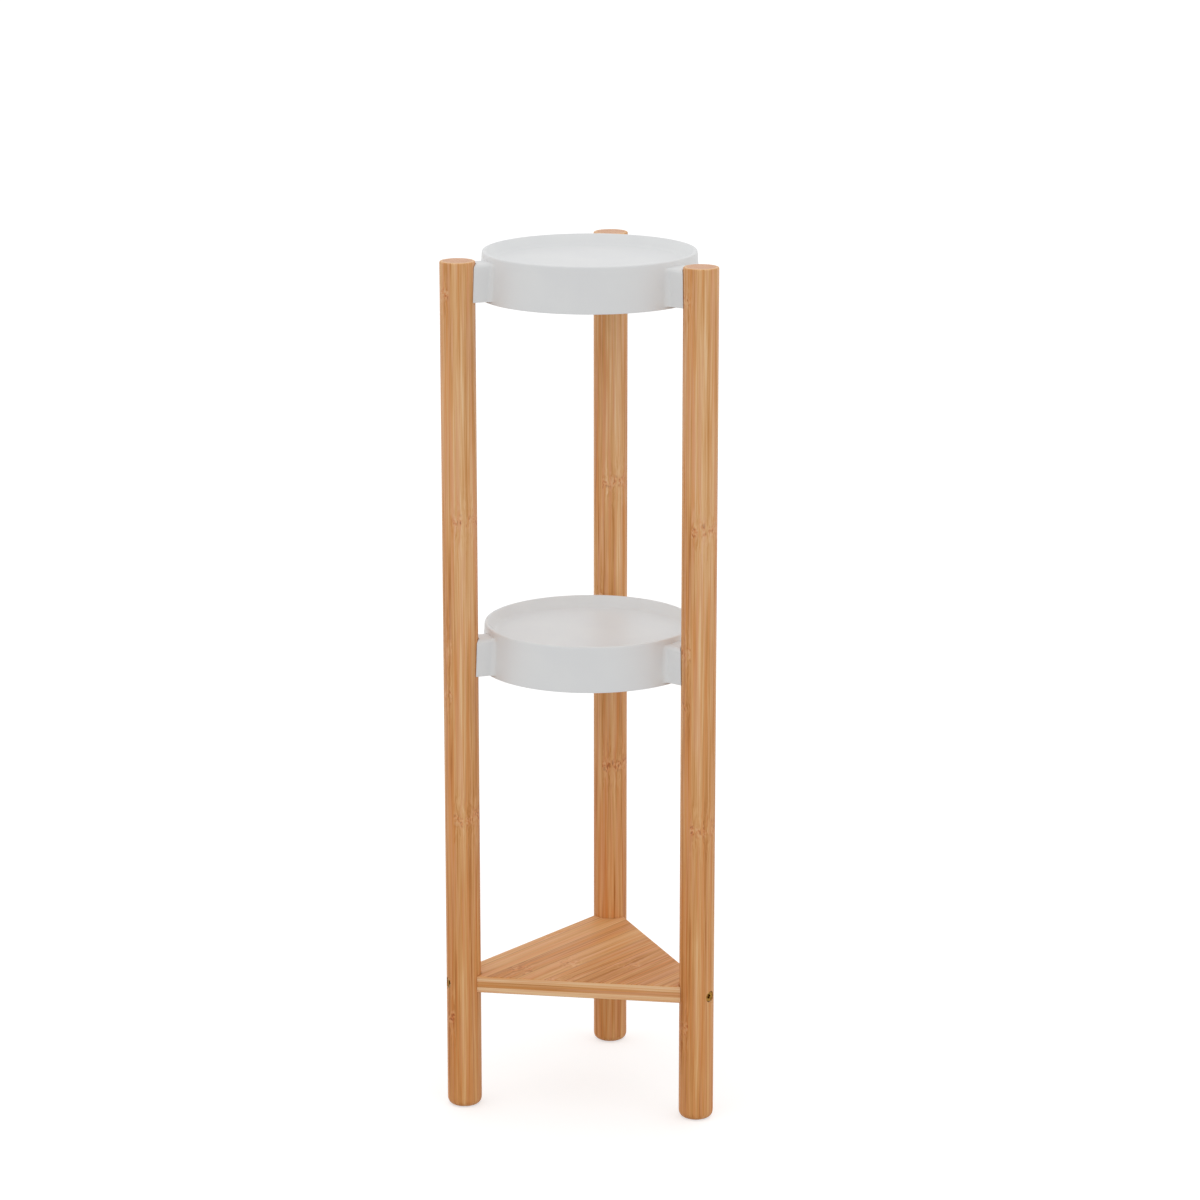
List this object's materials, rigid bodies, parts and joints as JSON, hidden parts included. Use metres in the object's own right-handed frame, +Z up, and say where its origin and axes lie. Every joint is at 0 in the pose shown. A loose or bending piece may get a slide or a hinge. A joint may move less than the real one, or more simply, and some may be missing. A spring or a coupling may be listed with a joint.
{
  "type": "tiered plant stand",
  "caption": "Slim free-standing plant stand: round bamboo legs carry two shallow round trays, with a triangular bamboo shelf low down between them.",
  "frame": {"origin": "on the floor, under the middle of the outline's box; the axis that the trays share stands 19.7 mm in front of it, at x = 0", "axes": "+Z up, -Y to the front, between the two front legs; +Y points to the rear leg"},
  "size_m": [0.2354, 0.2278, 0.7525],
  "materials": {
    "bamboo_rod": "clear satin lacquer over laminated bamboo",
    "bamboo_board": "clear satin lacquer over three-layer laminated bamboo",
    "tray_plastic": "satin moulded white",
    "brass_bolt": "brass-plated, slightly worn",
    "brass_insert": "machined",
    "zinc_steel": "bright zinc plated"
  },
  "bodies": {
    "root": {"tray_upper": "tray_plastic", "tray_middle": "tray_plastic", "shelf": "bamboo_board", "leg_rear": "bamboo_rod", "shelf_bolt_rear": "brass_bolt", "barrel_nut_rear": "zinc_steel", "tray_screw_upper_rear": "zinc_steel", "leg_insert_upper_rear": "brass_insert", "tray_screw_middle_rear": "zinc_steel", "leg_insert_middle_rear": "brass_insert", "leg_left": "bamboo_rod", "shelf_bolt_left": "brass_bolt", "barrel_nut_left": "zinc_steel", "tray_screw_upper_left": "zinc_steel", "leg_insert_upper_left": "brass_insert", "tray_screw_middle_left": "zinc_steel", "leg_insert_middle_left": "brass_insert", "leg_right": "bamboo_rod", "shelf_bolt_right": "brass_bolt", "barrel_nut_right": "zinc_steel", "tray_screw_upper_right": "zinc_steel", "leg_insert_upper_right": "brass_insert", "tray_screw_middle_right": "zinc_steel", "leg_insert_middle_right": "brass_insert"}
  },
  "joints": []
}
